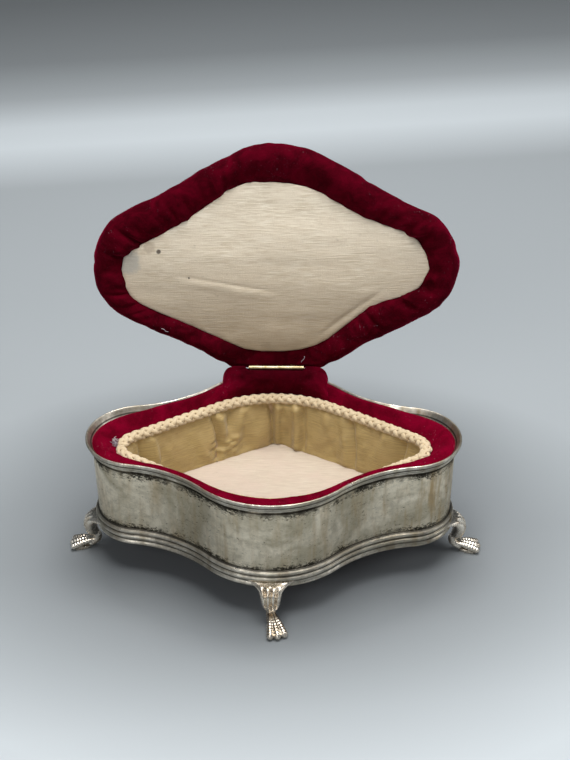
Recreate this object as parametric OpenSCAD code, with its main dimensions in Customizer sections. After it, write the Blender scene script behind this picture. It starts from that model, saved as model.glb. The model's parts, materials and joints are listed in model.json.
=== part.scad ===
// Trinket box: a serpentine lozenge of silver plate on four cast paw feet, with a silk-lined
// well, a velvet collar with a braided cord, and a padded velvet lid on a small brass hinge.
// Millimetres. The origin is the centre of the cloth under the base; +X runs along the length,
// +Y to the hinge side, +Z up. The lid is drawn open, on its stop.

/* [Which piece] */
// Sub-part to draw, or all

/* [Box outline] */
// Half length over the rim
half_w = 82; // [80:1:84]
// Half depth over the rim
half_d = 52.3; // [51.3:0.5:53.3]
// Radius of the two rounded ends
tip_r = 23.6; // [22.6:0.5:24.6]
// Radius of the front and back lobes
lobe_r = 40.9; // [39.9:0.5:41.9]
// Radius of the four hollow flanks
flank_r = 56.3; // [54.3:1:58.3]

/* [Heights] */
// Height of the rim above the cloth under the base
crest_z = 43.6; // [42.6:0.5:44.6]
// Depth of the base moulding below the cloth
skirt = 1; // [0.8:0.1:1.2]
// Height of the feet below the moulding
foot_h = 16.8; // [16.3:0.1:17.3]
// Depth of the lined well below the rim
well_depth = 30; // [28:0.5:31]

/* [Metalwork] */
// Distance of the wall's face inside the rim
wall_in = 3.1; // [2.9:0.1:3.3]
// Thickness of the plated wall
wall_t = 0.9; // [0.7:0.1:1]

/* [Lining] */
// Half length of the cord's path
cord_w = 66.9; // [65.9:0.5:67.4]
// Half depth of the cord's path
cord_d = 40.6; // [40.1:0.5:41.1]
// Radius of the braided cord
cord_r = 2.05; // [1.85:0.1:2.15]
// Half length of the floor
floor_w = 62; // [60:1:63]
// Half depth of the floor
floor_d = 38.5; // [37.5:0.5:39]

/* [Lid] */
// Angle the lid opens to
lid_open = 105; // [95:1:110]
// Half length of the lid
lid_w = 82.2; // [81.2:0.5:83.2]
// Half depth of the lid
lid_d = 54.2; // [53.2:0.5:55.2]
// Height of the padding above the hinge
pad_h = 16.5; // [14.5:0.5:17]

/* [Hinge] */
// Distance of the hinge behind the centre
hinge_y = 48.2; // [48:0.1:48.4]
// Height of the hinge above the rim
hinge_up = 4.8; // [4.6:0.1:5]
// Length of the barrel
barrel_l = 25; // [23:1:26]
// Radius of the barrel
barrel_r = 1.2; // [1.1:0.05:1.3]
// Radius of the pin
pin_r = 0.5; // [0.4:0.05:0.55]

/* [Hidden] */

silver = [0.66, 0.64, 0.58];
brass = [0.8, 0.72, 0.5];
velvet = [0.38, 0.02, 0.06];
silk = [0.85, 0.8, 0.7];
gold = [0.72, 0.62, 0.4];
wood = [0.6, 0.45, 0.3];
card = [0.7, 0.65, 0.55];

arc_n = 8;                          // points along each arc of an outline
inner = wall_in + wall_t;           // wall's inner face, inside the rim
lip_z = 1.8;                        // depth of the rim's lip over the wall
slack = 0.1;                        // fitting gap round the lining carcass
cloth_t = 0.5;                      // base cloth
board_t = 6;                        // wooden base
card_t = 1.5;                       // card under the floor pad
board_z = cloth_t + board_t;        // top of the wooden base
pad_z = board_z + card_t;           // underside of the floor pad
floor_z = crest_z - well_depth;     // top of the floor pad
cord_z = crest_z - 7.1;             // centre of the cord
ledge_z = cord_z - cord_r - 0.05;   // top of the side lining, which the cord lies on
lining_t = 1.6;                     // padded side lining
mould_r = 2.1;                      // how far the base moulding's beads lie inside the rim
sole_z = -skirt - foot_h;           // what the box stands on

hinge_z = crest_z + hinge_up;
leaf_t = 0.8;                       // hinge leaf
leaf_d = 4.3;                       // depth of a leaf from the hinge line
leaf_h = barrel_r - 0.1;            // gap between the hinge line and a leaf
knuckle = barrel_l / 4;             // length of each of the four knuckles
joint_gap = 0.1;                    // end play between two knuckles
run_gap = 0.05;                     // radial clearance of the pin in the lid's knuckle
barrel_gap = 0.4;                   // room left round the barrel
block_w = 45;                       // length of the hinge block with its cover
block_front = 43;                   // front of the hinge block
cover_t = 0.8;                      // velvet on the hinge block
screw_x = [-8.5, 0, 8.5];           // screws in each leaf
lid_cut = barrel_r + barrel_gap;    // rear edge of the lid, in front of the hinge line
lid_board_t = 2.5;
lid_board_h = leaf_h + leaf_t;      // underside of the lid board above the hinge line
roll_h = -4.3;                      // underside of the lid's velvet roll
skin_t = 0.9;                       // velvet and backing over the padding

// --- outlines -----------------------------------------------------------------------------

function polar(c, r, a) = c + r * [cos(a), sin(a)];

// Completes a quarter outline that runs from +X to +Y.
function whole(q) =
    let (half = concat(q, [for (i = [len(q) - 2:-1:0]) [-q[i].x, q[i].y]]))
    concat(half, [for (i = [len(half) - 2:-1:1]) [half[i].x, -half[i].y]]);

// Centres of the tip, flank and lobe arcs in the first quarter.
tip_c = [half_w - tip_r, 0];
lobe_c = [0, half_d - lobe_r];
gap_c = norm(tip_c - lobe_c);
along = (pow(tip_r + flank_r, 2) - pow(lobe_r + flank_r, 2) + gap_c * gap_c) / (2 * gap_c);
flank_c = tip_c + along * (lobe_c - tip_c) / gap_c
        + sqrt(pow(tip_r + flank_r, 2) - along * along) * [lobe_c.y, tip_c.x] / gap_c;
tip_a = atan2(flank_c.y, flank_c.x - tip_c.x);
lobe_a = atan2(flank_c.y - lobe_c.y, flank_c.x);

// Serpentine outline of the box, moved out by off from the rim.
function box_outline(off) = whole(concat(
    [for (i = [0:arc_n]) polar(tip_c, tip_r + off, tip_a * i / arc_n)],
    [for (i = [1:arc_n])
        polar(flank_c, flank_r - off, 180 + tip_a + (lobe_a - tip_a) * i / arc_n)],
    [for (i = [1:arc_n]) polar(lobe_c, lobe_r + off, lobe_a + (90 - lobe_a) * i / arc_n)]));

// Angle at which a lozenge's straight flank leaves its rounded tip.
function turn(a, b, r1, r2) =
    (atan2(b - r2, r1 - a) + 360) % 360 - acos((r1 - r2) / norm([a - r1, b - r2]));

// Lozenge a by b with rounded tips and lobes and straight flanks, moved out by off.
function lozenge(a, b, r1, r2, off = 0, n = arc_n) =
    let (t = turn(a, b, r1, r2))
    whole(concat(
        [for (i = [0:n]) polar([a - r1, 0], r1 + off, t * i / n)],
        [for (i = [0:n]) polar([0, b - r2], r2 + off, t + (90 - t) * i / n)]));

cord_tip_r = 10;
cord_lobe_r = 46;
function cord_path(off) = lozenge(cord_w, cord_d, cord_tip_r, cord_lobe_r, off);
function floor_path(off) = lozenge(floor_w, floor_d, 3, 3, off, 3);
function lid_path(off, n = 6) = lozenge(lid_w, lid_d, 27, 43, off, n);
function panel_path(off) = lozenge(69.5, 39, 9, 22, off, 6);

// Slab of an outline between two heights.
module slab(path, z0, z1) {
    translate([0, 0, z0]) linear_extrude(z1 - z0) polygon(path);
}

// Mouldings stacked from [low, high, offset] bands round the rim's outline.
module bands(list) {
    for (b = list) slab(box_outline(b[2]), b[0], b[1]);
}

// --- metalwork ----------------------------------------------------------------------------

module wall_band() {
    color(silver) difference() {
        slab(box_outline(-wall_in), cloth_t, crest_z - lip_z);
        slab(box_outline(-inner), cloth_t - 1, crest_z);
    }
}

module top_rim() {
    color(silver) translate([0, 0, crest_z]) difference() {
        bands([[-5.9, -5.1, -1.9], [-5.1, -4.2, -0.8], [-4.2, -2.7, -1.6], [-2.7, -2, -0.5],
               [-2, -0.7, 0], [-0.7, 0, -1]]);
        slab(box_outline(-wall_in), -7, -lip_z);
        slab(box_outline(-inner), -3, 1);
    }
}

module base_moulding() {
    color(silver) difference() {
        bands([[-skirt, 0.9, -mould_r], [0.9, 1.9, -2.6], [1.9, 3.1, -mould_r],
               [3.1, 5, -2.8], [5, 6.4, -mould_r], [6.4, 7, -2.7]]);
        slab(box_outline(-inner - 0.5), -skirt - 1, cloth_t + 1);
        slab(box_outline(-wall_in), cloth_t, 8);
    }
}

// Cast cabriole leg with a paw, pointing along +X from the moulding.
module foot_casting() {
    knee_z = -7.5;
    ankle_z = -10.5;
    paw_z = sole_z + 3.2;
    toe_z = sole_z + 2;
    for (k = [-1, 0, 1]) hull() {
        translate([1.4, 4.4 * k, 0.2]) sphere(2.3, $fn = 16);
        translate([2.4, 1.2 * k, knee_z]) sphere(1.9, $fn = 16);
    }
    hull() {
        translate([2.3, 0, knee_z]) sphere(2.3, $fn = 16);
        translate([0.3, 0, ankle_z]) sphere(1.9, $fn = 16);
    }
    hull() {
        translate([0.3, 0, ankle_z]) sphere(1.9, $fn = 16);
        translate([2.4, 0, paw_z]) sphere(2.2, $fn = 16);
    }
    hull() {
        translate([2.4, 0, paw_z]) sphere(2.2, $fn = 16);
        for (k = [-1, 1]) translate([10.8, 3.3 * k, toe_z]) sphere(1.9, $fn = 16);
    }
    translate([0, 0, sole_z])
        linear_extrude(1.4)
            polygon([[2, -1.8], [10.4, -5], [12.4, -3.6], [12.4, 3.6], [10.4, 5], [2, 1.8]]);
}

// A foot soldered under the moulding at distance d from the centre, towards angle a.
module foot(d, a) {
    color(silver) difference() {
        rotate(a) translate([d - mould_r, 0, 0]) foot_casting();
        slab(box_outline(-mould_r), -skirt, 10);
    }
}

module foot_front() { foot(half_d, -90); }
module foot_back() { foot(half_d, 90); }
module foot_left() { foot(half_w, 180); }
module foot_right() { foot(half_w, 0); }

// --- base and lining ----------------------------------------------------------------------

module base_cloth() {
    color(velvet) slab(box_outline(-inner - 0.7), 0, cloth_t);
}

module base_board() {
    color(wood) slab(box_outline(-inner - slack), cloth_t, board_z);
}

// Tapering hollow of the well, moved out by off from the lining's face.
module well(off) {
    hull() {
        slab(cord_path(off - 1.5), ledge_z, ledge_z + 0.1);
        slab(floor_path(off), floor_z - 0.1, floor_z);
    }
}

module carcass() {
    color(wood) difference() {
        slab(box_outline(-inner - slack), board_z, ledge_z);
        well(lining_t);
        slab(floor_path(lining_t), board_z - 1, floor_z);
    }
}

module side_lining() {
    color(gold) intersection() {
        difference() {
            well(lining_t);
            well(0);
        }
        slab(box_outline(0), floor_z, ledge_z);
    }
}

module floor_card() {
    color(card) slab(floor_path(lining_t), board_z, pad_z);
}

module floor_pad() {
    color(silk) slab(floor_path(lining_t), pad_z, floor_z);
}

module velvet_collar() {
    cord_top = cord_z + cord_r + 0.05;
    color(velvet) difference() {
        union() {
            difference() {
                slab(box_outline(-inner - slack), ledge_z, cord_top);
                slab(cord_path(cord_r + 0.05), ledge_z - 1, cord_top + 1);
            }
            difference() {
                slab(box_outline(-inner - slack), cord_top, crest_z - 3.2);
                slab(box_outline(-8.6), cord_top - 1, crest_z);
            }
            difference() {
                slab(box_outline(-5), crest_z - 3.2, crest_z - 2);
                slab(box_outline(-7.4), crest_z - 4, crest_z);
            }
        }
        translate([-block_w / 2, block_front, cord_top]) cube([block_w, 20, 10]);
    }
}

// Braided cord laid round the well, its ends meeting at the left tip.
module braid_cord() {
    color(silk) translate([0, 0, cord_z]) difference() {
        for (b = [[-1, -0.5, 0.75], [-0.5, 0.5, 1], [0.5, 1, 0.75]])
            difference() {
                slab(cord_path(b[2] * cord_r), b[0] * cord_r, b[1] * cord_r);
                slab(cord_path(-b[2] * cord_r), b[0] * cord_r - 1, b[1] * cord_r + 1);
            }
        translate([-cord_w - 5, -0.1, -5]) cube([10, 0.2, 10]);
    }
}

// --- hinge --------------------------------------------------------------------------------

// Places what is drawn in the hinge's frame, where +X is the pin and -Y is to the front.
module at_hinge(open = 0) {
    translate([0, hinge_y, hinge_z]) rotate([-open, 0, 0]) children();
}

// A cylinder along X, centred.
module rod(r, l) {
    rotate([0, 90, 0]) cylinder(r = r, h = l, center = true, $fn = 32);
}

// Screws of a leaf whose face is at height 0, or their holes, which start a little below it.
module screws(r, head_r, l, below = 0) {
    for (x = screw_x) translate([x, -(leaf_d + lid_cut) / 2, -below]) {
        cylinder(r1 = head_r + below, r2 = 0.3, h = head_r + below - 0.3, $fn = 24);
        cylinder(r = r, h = l + below, $fn = 24);
    }
}

// A leaf above the hinge line with two knuckles, at these places among the barrel's four.
module leaf(places, bore_r) {
    length = knuckle - joint_gap;
    difference() {
        union() {
            translate([-barrel_l / 2, -leaf_d, leaf_h]) cube([barrel_l, leaf_d - lid_cut, leaf_t]);
            for (i = places) translate([(i - 1.5) * knuckle, 0, 0]) {
                translate([-length / 2, -lid_cut - 0.3, leaf_h])
                    cube([length, lid_cut + 0.8, leaf_t]);
                rod(barrel_r, length);
            }
        }
        rod(bore_r, barrel_l + 5);
        translate([0, 0, leaf_h]) screws(0.47, 0.82, 2, 0.5);
    }
}

module hinge_leaf_base() {
    color(brass) at_hinge() mirror([0, 0, 1]) leaf([0, 2], pin_r - 0.01);
}

module hinge_leaf_lid() {
    color(brass) at_hinge(lid_open) leaf([1, 3], pin_r + run_gap);
}

module hinge_pin() {
    color(brass) at_hinge() rod(pin_r, barrel_l + 0.4);
}

module hinge_screws_base() {
    color(brass) at_hinge() mirror([0, 0, 1]) translate([0, 0, leaf_h]) screws(0.45, 0.8, 5);
}

module hinge_screws_lid() {
    color(brass) at_hinge(lid_open) translate([0, 0, leaf_h]) screws(0.45, 0.8, 3);
}

// Plan of the hinge block, moved in by off from its cover's face.
module block_plan(off, edge) {
    intersection() {
        translate([-block_w / 2 + off, block_front + off]) square([block_w - 2 * off, 20]);
        polygon(box_outline(edge));
    }
}

module hinge_block() {
    top = hinge_z - leaf_h - leaf_t;
    color(wood) {
        translate([0, 0, cord_z + cord_r + 0.05]) linear_extrude(crest_z - cord_z - cord_r)
            block_plan(cover_t, -inner - slack);
        translate([0, 0, crest_z + 0.05]) linear_extrude(top - crest_z - 0.05)
            block_plan(cover_t, -1);
    }
}

module hinge_block_cover() {
    foot_z = cord_z + cord_r + 0.05;
    color(velvet) difference() {
        union() {
            translate([0, 0, foot_z]) linear_extrude(crest_z + 0.05 - foot_z)
                block_plan(0, -inner - slack);
            translate([0, 0, crest_z + 0.05]) linear_extrude(hinge_z - 0.6 - crest_z - 0.05)
                block_plan(0, -0.2);
        }
        hinge_block();
        translate([-block_w, hinge_y - lid_cut, hinge_z - barrel_r - barrel_gap])
            cube([2 * block_w, 20, 5]);
        at_hinge() translate([-barrel_l / 2 - 0.2, -leaf_d - 0.2, -leaf_h - leaf_t])
            cube([barrel_l + 0.4, 20, leaf_t]);
    }
}

// --- lid ----------------------------------------------------------------------------------

// Places what is drawn for a closed lid over the box's centre, with heights from the hinge line.
module at_lid() {
    at_hinge(lid_open) translate([0, -hinge_y, 0]) children();
}

// The padded body, moved in by skin from the velvet's face, in front of the rear edge.
module cushion(skin) {
    layers = [[-6, 1, roll_h + skin], [-2, 1, -3 + skin / 2], [0, 1, 0], [-0.5, 1, 5],
              [-4, 1, 9.5 - skin / 2], [-6, 0.83, 13 - skin], [-6, 0.5, pad_h - skin]];
    intersection() {
        hull() for (l = layers)
            translate([0, 0, l[2]]) linear_extrude(0.02) scale([l[1], l[1]])
                polygon(lid_path(l[0] - skin));
        translate([-100, -100, -10]) cube([200, 100 + hinge_y - lid_cut - skin, 40]);
    }
}

// The room under the lid board for the lining panel and over the hinge block.
module underside(skin) {
    top = lid_board_h;
    translate([0, 1.35, 0]) slab(panel_path(0.4 + skin), -10, top);
    translate([-block_w / 2 - 1.5 - skin, block_front - 2 - skin, -10])
        cube([block_w + 3 + 2 * skin, 40, 10.6 + (skin > 0 ? top - 0.6 : 0)]);
}

module lid_board() {
    color(wood) at_lid() intersection() {
        slab(lid_path(-7), lid_board_h, lid_board_h + lid_board_t);
        translate([-100, -100, 0]) cube([200, 100 + hinge_y - lid_cut - skin_t, 10]);
    }
}

module lid_stuffing() {
    color(silk) at_lid() difference() {
        cushion(skin_t);
        underside(skin_t);
        slab(lid_path(-7), lid_board_h - 0.01, lid_board_h + lid_board_t);
    }
}

module lid_velvet() {
    color(velvet) at_lid() difference() {
        cushion(0);
        underside(0);
        difference() {
            cushion(skin_t);
            underside(skin_t);
        }
        translate([-barrel_l / 2 - 0.2, hinge_y - leaf_d - 0.2, leaf_h])
            cube([barrel_l + 0.4, 20, leaf_t]);
    }
}

module lid_lining_card() {
    color(card) at_lid() translate([0, 1.35, 0])
        slab(panel_path(-0.5), lid_board_h - 1, lid_board_h);
}

module lid_lining_silk() {
    color(silk) at_lid() translate([0, 1.35, 0])
        slab(panel_path(0), lid_board_h - 1.6, lid_board_h - 1);
}

wall_band();
top_rim();
base_moulding();
foot_front();
foot_back();
foot_left();
foot_right();
base_cloth();
base_board();
carcass();
velvet_collar();
hinge_block();
hinge_block_cover();
side_lining();
floor_card();
floor_pad();
braid_cord();
hinge_leaf_base();
hinge_pin();
hinge_screws_base();
lid_board();
lid_stuffing();
lid_velvet();
lid_lining_card();
lid_lining_silk();
hinge_leaf_lid();
hinge_screws_lid();
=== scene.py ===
"""Looks of the serpentine trinket box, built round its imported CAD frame.

Lengths of pieces are millimetres in the part's own frame until grid_piece() turns them into
metres. Sizes in materials, lights and the camera are metres, and those along a UV map are mm.
"""
import json
import math

import bpy
import numpy as np
from mathutils import Matrix, Vector


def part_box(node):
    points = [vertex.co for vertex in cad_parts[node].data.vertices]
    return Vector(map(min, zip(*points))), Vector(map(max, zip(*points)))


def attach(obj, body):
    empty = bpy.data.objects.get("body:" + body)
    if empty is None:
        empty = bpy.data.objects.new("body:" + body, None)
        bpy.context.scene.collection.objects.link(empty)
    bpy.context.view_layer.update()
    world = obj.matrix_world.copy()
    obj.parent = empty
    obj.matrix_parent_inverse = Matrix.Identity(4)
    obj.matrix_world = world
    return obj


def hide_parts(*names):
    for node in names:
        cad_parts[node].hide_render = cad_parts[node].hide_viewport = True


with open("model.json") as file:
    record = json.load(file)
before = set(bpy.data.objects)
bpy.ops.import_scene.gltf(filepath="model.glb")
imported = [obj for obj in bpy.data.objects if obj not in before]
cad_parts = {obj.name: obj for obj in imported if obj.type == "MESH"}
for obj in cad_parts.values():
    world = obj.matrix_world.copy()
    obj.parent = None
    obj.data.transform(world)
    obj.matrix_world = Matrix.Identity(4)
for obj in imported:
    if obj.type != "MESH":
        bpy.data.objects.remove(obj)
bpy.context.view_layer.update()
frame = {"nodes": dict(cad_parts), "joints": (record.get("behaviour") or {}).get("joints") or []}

MM = 0.001
HALF_W, HALF_D, CREST = np.array(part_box("top_rim")[1]) / MM
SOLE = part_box("foot_front")[0][2] / MM
FLOOR_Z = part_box("floor_pad")[1][2] / MM
CORD_Z = sum(c[2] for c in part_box("braid_cord")) / 2 / MM
CORD_R = (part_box("braid_cord")[1][2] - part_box("braid_cord")[0][2]) / 2 / MM
MOULD_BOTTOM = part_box("base_moulding")[0][2] / MM
HINGE = next(j for j in frame["joints"] if j["name"] == "lid_hinge")
HINGE_Y, HINGE_Z = HINGE["pos_m"][1] / MM, HINGE["pos_m"][2] / MM
LID_OPEN = math.radians(HINGE["range_deg"][1])

TIP_R, LOBE_R, FLANK_R = 23.6, 40.9, 56.3      # arcs of the rim
WALL_BACK = -4.0                               # the wall sheet's inner face, from the rim's edge
MOULD_FACE = -2.1                              # the base moulding's outer face, likewise
CORD_ARCS = (66.9, 40.6, 10, 46)               # half length, half depth, tip and lobe radius
FLOOR_ARCS = (62, 38.5, 3, 3)
LID_ARCS = (82.2, 54.2, 27, 43)
LID_EDGE = HINGE_Y - 1.7                       # rear edge of the lid's sides, before the barrel
RING = 72                                      # points along a quarter of a ring


# --- outlines ---

def arc(centre, radius, start, stop, count):
    """Points along a circle's arc."""
    angles = np.linspace(start, stop, count)
    return np.array(centre) + radius * np.stack([np.cos(angles), np.sin(angles)], 1)


def box_quarter(off, count=24):
    """The rim's outline from +X to +Y, moved out by off: tip, hollow flank and lobe."""
    tip = np.array([HALF_W - TIP_R, 0])
    lobe = np.array([0, HALF_D - LOBE_R])
    gap = np.linalg.norm(tip - lobe)
    near, far = TIP_R + FLANK_R, LOBE_R + FLANK_R
    along = (near ** 2 - far ** 2 + gap ** 2) / (2 * gap)
    across = math.sqrt(near ** 2 - along ** 2)
    flank = tip + (along * (lobe - tip) + across * np.array([lobe[1], tip[0]])) / gap
    a = math.atan2(flank[1], flank[0] - tip[0])
    b = math.atan2(flank[1] - lobe[1], flank[0])
    return np.concatenate([
        arc(tip, TIP_R + off, 0, a, count),
        arc(flank, FLANK_R - off, math.pi + a, math.pi + b, count)[1:],
        arc(lobe, LOBE_R + off, b, math.pi / 2, count)[1:]])


def lozenge_quarter(arcs, off=0, count=40):
    """A lozenge's outline from +X to +Y, with round ends and lobes and straight flanks."""
    a, b, r1, r2 = arcs
    apart = math.hypot(a - r1, b - r2)
    turn = math.atan2(b - r2, r1 - a) % (2 * math.pi) - math.acos((r1 - r2) / apart)
    tip = arc((a - r1, 0), r1 + off, 0, turn, count)
    lobe = arc((0, b - r2), r2 + off, turn, math.pi / 2, count)
    flank = np.linspace(tip[-1], lobe[0], count)[1:-1]
    return np.concatenate([tip, flank, lobe])


def unit(vectors):
    """Each row's direction."""
    return vectors / np.maximum(np.linalg.norm(vectors, axis=1), 1e-6)[:, None]


def lengths(line):
    """How far along a polyline each of its points lies."""
    return np.concatenate([[0], np.cumsum(np.linalg.norm(np.diff(line, axis=0), axis=1))])


def points_at(line, at):
    """The points that lie these lengths along a polyline."""
    steps = lengths(line)
    return np.stack([np.interp(at, steps, line[:, i]) for i in range(line.shape[1])], 1)


def resample(line, count):
    """count + 1 points at even steps along an open polyline."""
    return points_at(line, np.linspace(0, lengths(line)[-1], count + 1))


def whole(back, front=None):
    """Closes quarter outlines, back and front, into one ring that starts at +X."""
    front = back if front is None else front
    right_front = front[::-1] * [1, -1]
    half = np.concatenate([back, (back[::-1] * [-1, 1])[1:]])
    other = np.concatenate([(front * [-1, -1])[1:], right_front[1:-1]])
    return np.concatenate([half, other])


def box_ring(off, even=False):
    """The rim's whole outline, moved out by off."""
    quarter = box_quarter(off)
    return whole(resample(quarter, RING) if even else quarter)


def lozenge_ring(arcs, off=0, count=RING):
    """A whole lozenge, moved out by off, with count even steps to the quarter."""
    return whole(resample(lozenge_quarter(arcs, off), count))


def rounded(points, rounds=2, closed=False):
    """Cuts a polyline's corners, Chaikin's way."""
    p = np.array(points, float)
    for _ in range(rounds):
        nxt = np.roll(p, -1, 0) if closed else p[1:]
        cur = p if closed else p[:-1]
        cut = np.stack([0.75 * cur + 0.25 * nxt, 0.25 * cur + 0.75 * nxt], 1).reshape(-1, p.shape[1])
        p = cut if closed else np.concatenate([p[:1], cut, p[-1:]])
    return p


def curve_through(points, at):
    """Smooth values at the places at, through a table of [place, value, ...] rows."""
    t = np.array(points, float)
    fine = rounded(t, 3)
    return np.stack([np.interp(at, fine[:, 0], fine[:, i]) for i in range(1, t.shape[1])], -1)


# --- noise ---

def lattice(cell, seed):
    """A repeatable random number from 0 to 1 for each lattice cell."""
    mix = np.sin(cell @ np.array([127.1, 311.7, 74.7]) + seed * 19.19) * 43758.5453
    return mix - np.floor(mix)


def noise(points, size, seed=0):
    """Smooth value noise from -1 to 1 over 3D points, with bumps of this size in mm."""
    p = np.asarray(points, float) / size
    base = np.floor(p)
    f = p - base
    f = f * f * (3 - 2 * f)
    total = np.zeros(len(p))
    for corner in np.ndindex(2, 2, 2):
        c = np.array(corner)
        weight = np.prod(np.where(c == 1, f, 1 - f), axis=1)
        total += weight * lattice(base + c, seed)
    return total * 2 - 1


def bump(x, centre, width):
    """1 at the centre and falling smoothly to 0 beyond the width."""
    return np.exp(-((x - centre) / width) ** 2)


def ease(x, low, high):
    """Rises smoothly from 0 at low to 1 at high."""
    t = np.clip((x - low) / (high - low), 0, 1)
    return t * t * (3 - 2 * t)


# --- meshes ---

def in_scene(name, data):
    """A new object that holds this data, in the scene."""
    o = bpy.data.objects.new(name, data)
    bpy.context.scene.collection.objects.link(o)
    return o


def grid_piece(name, rows, material, round_u=True, round_v=False, cap=False, uv=None, sub=0):
    """A mesh through rows of 3D points: round_u joins each row's ends, round_v the rows."""
    rows = np.asarray(rows, float)
    nv, nu = rows.shape[:2]
    faces = []
    for v in range(nv if round_v else nv - 1):
        for u in range(nu if round_u else nu - 1):
            a, b = v * nu + u, v * nu + (u + 1) % nu
            c, d = ((v + 1) % nv) * nu + (u + 1) % nu, ((v + 1) % nv) * nu + u
            faces.append((a, b, c, d))
    if cap:
        faces.append(tuple(range(nu))[::-1])
        faces.append(tuple(range((nv - 1) * nu, nv * nu)))
    mesh = bpy.data.meshes.new(name)
    mesh.from_pydata((rows.reshape(-1, 3) * MM).tolist(), [], faces)
    mesh.polygons.foreach_set("use_smooth", [True] * len(faces))
    if uv is not None:
        flat = np.asarray(uv, float).reshape(-1, 2)
        layer = mesh.uv_layers.new(name="flat")
        order = np.empty(len(mesh.loops), int)
        mesh.loops.foreach_get("vertex_index", order)
        layer.data.foreach_set("uv", flat[order].ravel())
    mesh.validate()
    piece = in_scene(name, mesh)
    piece.data.materials.append(material)
    if sub:
        piece.modifiers.new("smooth", "SUBSURF").levels = sub
        piece.modifiers["smooth"].render_levels = sub
    return piece


def at_height(ring, z):
    """A flat ring lifted to a height, or to one height for each point."""
    return np.column_stack([ring, np.full(len(ring), z) if np.isscalar(z) else z])


def swept(name, profile, material):
    """A closed [offset, height] profile carried round the rim's outline."""
    return grid_piece(name, [at_height(box_ring(o), z) for o, z in profile], material, round_v=True)


def select_only(*pieces):
    """Selects these pieces and nothing else, and makes the first one active."""
    for o in bpy.context.selected_objects:
        o.select_set(False)
    for piece in pieces:
        piece.select_set(True)
    bpy.context.view_layer.objects.active = pieces[0]


def outward(piece):
    """Turns every face outwards."""
    select_only(piece)
    bpy.ops.object.mode_set(mode="EDIT")
    bpy.ops.mesh.select_all(action="SELECT")
    bpy.ops.mesh.normals_make_consistent(inside=False)
    bpy.ops.object.mode_set(mode="OBJECT")
    return piece


def joined(parts, name):
    """Joins closed meshes into one piece, each turned outwards first."""
    for part in parts:
        outward(part)
    select_only(*parts)
    bpy.ops.object.join()
    parts[0].name = name
    parts[0].select_set(False)
    return parts[0]


def settle(piece):
    """Applies a piece's modifiers to its mesh."""
    graph = bpy.context.evaluated_depsgraph_get()
    mesh = bpy.data.meshes.new_from_object(piece.evaluated_get(graph))
    piece.modifiers.clear()
    piece.data = mesh
    return piece


def ride(piece, body, slot, *nodes):
    """Puts a piece on its body and hides the CAD nodes it takes the place of; slot, the name of its
    finish, is not used.
    """
    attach(piece, body)
    if nodes:
        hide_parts(*nodes)
    return piece


# --- materials ---

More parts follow.
